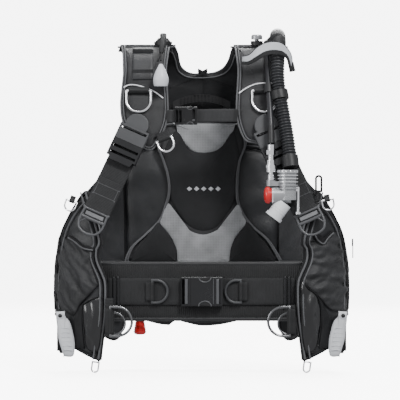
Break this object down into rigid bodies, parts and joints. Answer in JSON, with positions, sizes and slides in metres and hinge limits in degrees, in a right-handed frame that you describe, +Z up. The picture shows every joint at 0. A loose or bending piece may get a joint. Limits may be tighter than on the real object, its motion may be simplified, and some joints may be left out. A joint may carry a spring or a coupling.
{
  "type": "buoyancy compensator vest",
  "caption": "Jacket-style dive vest with side lobes, shoulder straps, inflator hose and tank band.",
  "frame": {"origin": "centre of the tank band's bore", "axes": "+Z up along the tank, -Y forwards out of the wearer's chest, +X to the right as seen from the front"},
  "size_m": [0.5615, 0.442, 0.6379],
  "materials": {
    "black_webbing": "woven nylon webbing, ribbed along its length",
    "plate_plastic": "moulded fine-grained plastic",
    "bladder_nylon": "coated nylon cloth with a dull sheen",
    "pad_cloth": "padded nylon with piped edges and pale grey mesh insets",
    "elastic": "ribbed elastic",
    "buckle_plastic": "moulded acetal, lightly polished",
    "steel": "polished stainless wire",
    "keeper_webbing": "folded webbing loops",
    "pale_grip": "pale grey moulded grip",
    "valve_plastic": "black valve plastic",
    "red_plastic": "red moulded plastic",
    "hose_rubber": "black rubber",
    "reflective_cloth": "silver reflective cloth",
    "inflator_grey": "grey moulded plastic with bright rings",
    "chrome": "chromed brass"
  },
  "bodies": {
    "vest": {"tank_band": "black_webbing", "backplate": "plate_plastic", "cam_buckle_frame": "plate_plastic", "carry_handle": "plate_plastic", "rear_bladder": "bladder_nylon", "neck_yoke": "bladder_nylon", "back_pad": "pad_cloth", "shoulder_pads": "pad_cloth", "side_lobes": "bladder_nylon", "cummerbund": "elastic", "waist_belt": "black_webbing", "waist_buckle_socket": "buckle_plastic", "sternum_strap": "black_webbing", "sternum_buckle_socket": "buckle_plastic", "swivel_pivots": "buckle_plastic", "ring_keepers": "keeper_webbing", "weight_sleeves": "keeper_webbing", "edge_trims": "black_webbing", "small_rings": "steel", "snap_clip": "steel", "rear_valve": "valve_plastic", "shoulder_valves": "valve_plastic", "corrugated_hose": "hose_rubber", "lp_hose": "hose_rubber", "lp_fitting": "chrome", "hose_elbow": "valve_plastic", "hose_bands": "valve_plastic", "hose_flap": "reflective_cloth", "pull_cords": "hose_rubber", "inflator_body": "inflator_grey", "mouthpiece": "pale_grip", "coupling_nipple": "chrome", "coupling_body": "chrome"},
    "cam_lever": {"cam_lever": "plate_plastic"},
    "waist_plug": {"waist_buckle_plug": "buckle_plastic"},
    "sternum_plug": {"sternum_buckle_plug": "buckle_plastic"},
    "shoulder_buckle_left": {"swivel_socket_left": "buckle_plastic", "shoulder_strap_left": "black_webbing"},
    "ladder_lock_left": {"ladder_lock_left": "buckle_plastic"},
    "shoulder_buckle_right": {"swivel_socket_right": "buckle_plastic", "shoulder_strap_right": "black_webbing"},
    "ladder_lock_right": {"ladder_lock_right": "buckle_plastic"},
    "belt_ring_left": {"belt_ring_left": "buckle_plastic"},
    "chest_ring_left": {"chest_ring_left": "steel"},
    "lower_ring_left": {"lower_ring_left": "steel"},
    "inner_ring_left": {"inner_ring_left": "steel"},
    "belt_ring_right": {"belt_ring_right": "buckle_plastic"},
    "chest_ring_right": {"chest_ring_right": "steel"},
    "lower_ring_right": {"lower_ring_right": "steel"},
    "inner_ring_right": {"inner_ring_right": "steel"},
    "shoulder_hook_ring": {"shoulder_hook_ring": "steel"},
    "weight_pouch_left": {"weight_pouch_left": "pale_grip"},
    "weight_pouch_right": {"weight_pouch_right": "pale_grip"},
    "zip_slider": {"zip_slider": "valve_plastic"},
    "shoulder_pull_knob": {"shoulder_pull_knob": "pale_grip"},
    "red_pull_knob": {"red_pull_knob": "red_plastic"},
    "dump_valve_knob": {"dump_valve_knob": "pale_grip"},
    "inflate_button": {"inflate_button": "red_plastic"},
    "deflate_lever": {"deflate_lever": "chrome"},
    "coupling_sleeve": {"coupling_sleeve": "chrome"}
  },
  "joints": [
    {"name": "cam_lever_turn", "type": "hinge", "parent": "vest", "child": "cam_lever", "pos_m": [0.107, 0.016, 0], "axis": [0, 0, 1], "range_deg": [0, 110]},
    {"name": "waist_plug_slide", "type": "slide", "parent": "vest", "child": "waist_plug", "axis": [-1, 0, 0], "range_m": [0, 0.02]},
    {"name": "sternum_plug_slide", "type": "slide", "parent": "vest", "child": "sternum_plug", "axis": [-1, 0, 0], "range_m": [0, 0.013]},
    {"name": "shoulder_buckle_swivel_left", "type": "hinge", "parent": "vest", "child": "shoulder_buckle_left", "pos_m": [-0.119, -0.27522, 0.181], "axis": [0, -0.9781, 0.2079], "range_deg": [-2, 3]},
    {"name": "ladder_lock_slide_left", "type": "slide", "parent": "shoulder_buckle_left", "child": "ladder_lock_left", "axis": [-0.4131, -0.1893, -0.8908], "range_m": [0, 0.02]},
    {"name": "shoulder_buckle_swivel_right", "type": "hinge", "parent": "vest", "child": "shoulder_buckle_right", "pos_m": [0.119, -0.27522, 0.181], "axis": [0, -0.9781, 0.2079], "range_deg": [-3, 1]},
    {"name": "ladder_lock_slide_right", "type": "slide", "parent": "shoulder_buckle_right", "child": "ladder_lock_right", "axis": [0.4131, -0.1893, -0.8908], "range_m": [0, 0.02]},
    {"name": "belt_ring_left_swing", "type": "hinge", "parent": "vest", "child": "belt_ring_left", "pos_m": [-0.091, -0.2932, -0.122], "axis": [0, 0, -1], "range_deg": [0, 80]},
    {"name": "chest_ring_left_swing", "type": "hinge", "parent": "vest", "child": "chest_ring_left", "pos_m": [-0.116, -0.26516, 0.247], "axis": [-1, 0, 0], "range_deg": [0, 85]},
    {"name": "lower_ring_left_swing", "type": "hinge", "parent": "vest", "child": "lower_ring_left", "pos_m": [-0.167, -0.3224, -0.176], "axis": [0, 0, -1], "range_deg": [0, 80]},
    {"name": "inner_ring_left_swing", "type": "hinge", "parent": "vest", "child": "inner_ring_left", "pos_m": [-0.166, -0.313, -0.18], "axis": [0, 0, 1], "range_deg": [0, 20]},
    {"name": "belt_ring_right_swing", "type": "hinge", "parent": "vest", "child": "belt_ring_right", "pos_m": [0.072, -0.2932, -0.122], "axis": [0, 0, 1], "range_deg": [0, 80]},
    {"name": "chest_ring_right_swing", "type": "hinge", "parent": "vest", "child": "chest_ring_right", "pos_m": [0.116, -0.26516, 0.247], "axis": [-1, 0, 0], "range_deg": [0, 12]},
    {"name": "lower_ring_right_swing", "type": "hinge", "parent": "vest", "child": "lower_ring_right", "pos_m": [0.161, -0.3224, -0.176], "axis": [0, 0, 1], "range_deg": [0, 80]},
    {"name": "inner_ring_right_swing", "type": "hinge", "parent": "vest", "child": "inner_ring_right", "pos_m": [0.166, -0.313, -0.18], "axis": [0, 0, -1], "range_deg": [0, 20]},
    {"name": "shoulder_hook_ring_swing", "type": "hinge", "parent": "vest", "child": "shoulder_hook_ring", "pos_m": [-0.069, -0.28341, 0.158], "axis": [-0.9272, -0.0779, -0.3664], "range_deg": [0, 80]},
    {"name": "weight_pouch_slide_left", "type": "slide", "parent": "vest", "child": "weight_pouch_left", "axis": [0, 0, -1], "range_m": [0, 0.09]},
    {"name": "weight_pouch_slide_right", "type": "slide", "parent": "vest", "child": "weight_pouch_right", "axis": [0, 0, -1], "range_m": [0, 0.09]},
    {"name": "zip_slide", "type": "slide", "parent": "vest", "child": "zip_slider", "axis": [0, 0, -1], "range_m": [0, 0.08]},
    {"name": "shoulder_knob_pull", "type": "slide", "parent": "vest", "child": "shoulder_pull_knob", "axis": [0, 0, -1], "range_m": [0, 0.01], "stiffness_N_per_m": 400},
    {"name": "red_knob_pull", "type": "slide", "parent": "vest", "child": "red_pull_knob", "axis": [0, 0, -1], "range_m": [0, 0.015], "stiffness_N_per_m": 400},
    {"name": "dump_knob_pull", "type": "slide", "parent": "vest", "child": "dump_valve_knob", "axis": [0, 0, 1], "range_m": [0, 0.004], "stiffness_N_per_m": 400},
    {"name": "inflate_button_press", "type": "slide", "parent": "vest", "child": "inflate_button", "axis": [1, 0, 0], "range_m": [0, 0.003], "stiffness_N_per_m": 600},
    {"name": "deflate_lever_press", "type": "slide", "parent": "vest", "child": "deflate_lever", "axis": [0, 0, 1], "range_m": [0, 0.004], "stiffness_N_per_m": 600},
    {"name": "coupling_sleeve_pull", "type": "slide", "parent": "vest", "child": "coupling_sleeve", "axis": [0, 0, 1], "range_m": [0, 0.005], "stiffness_N_per_m": 600}
  ]
}
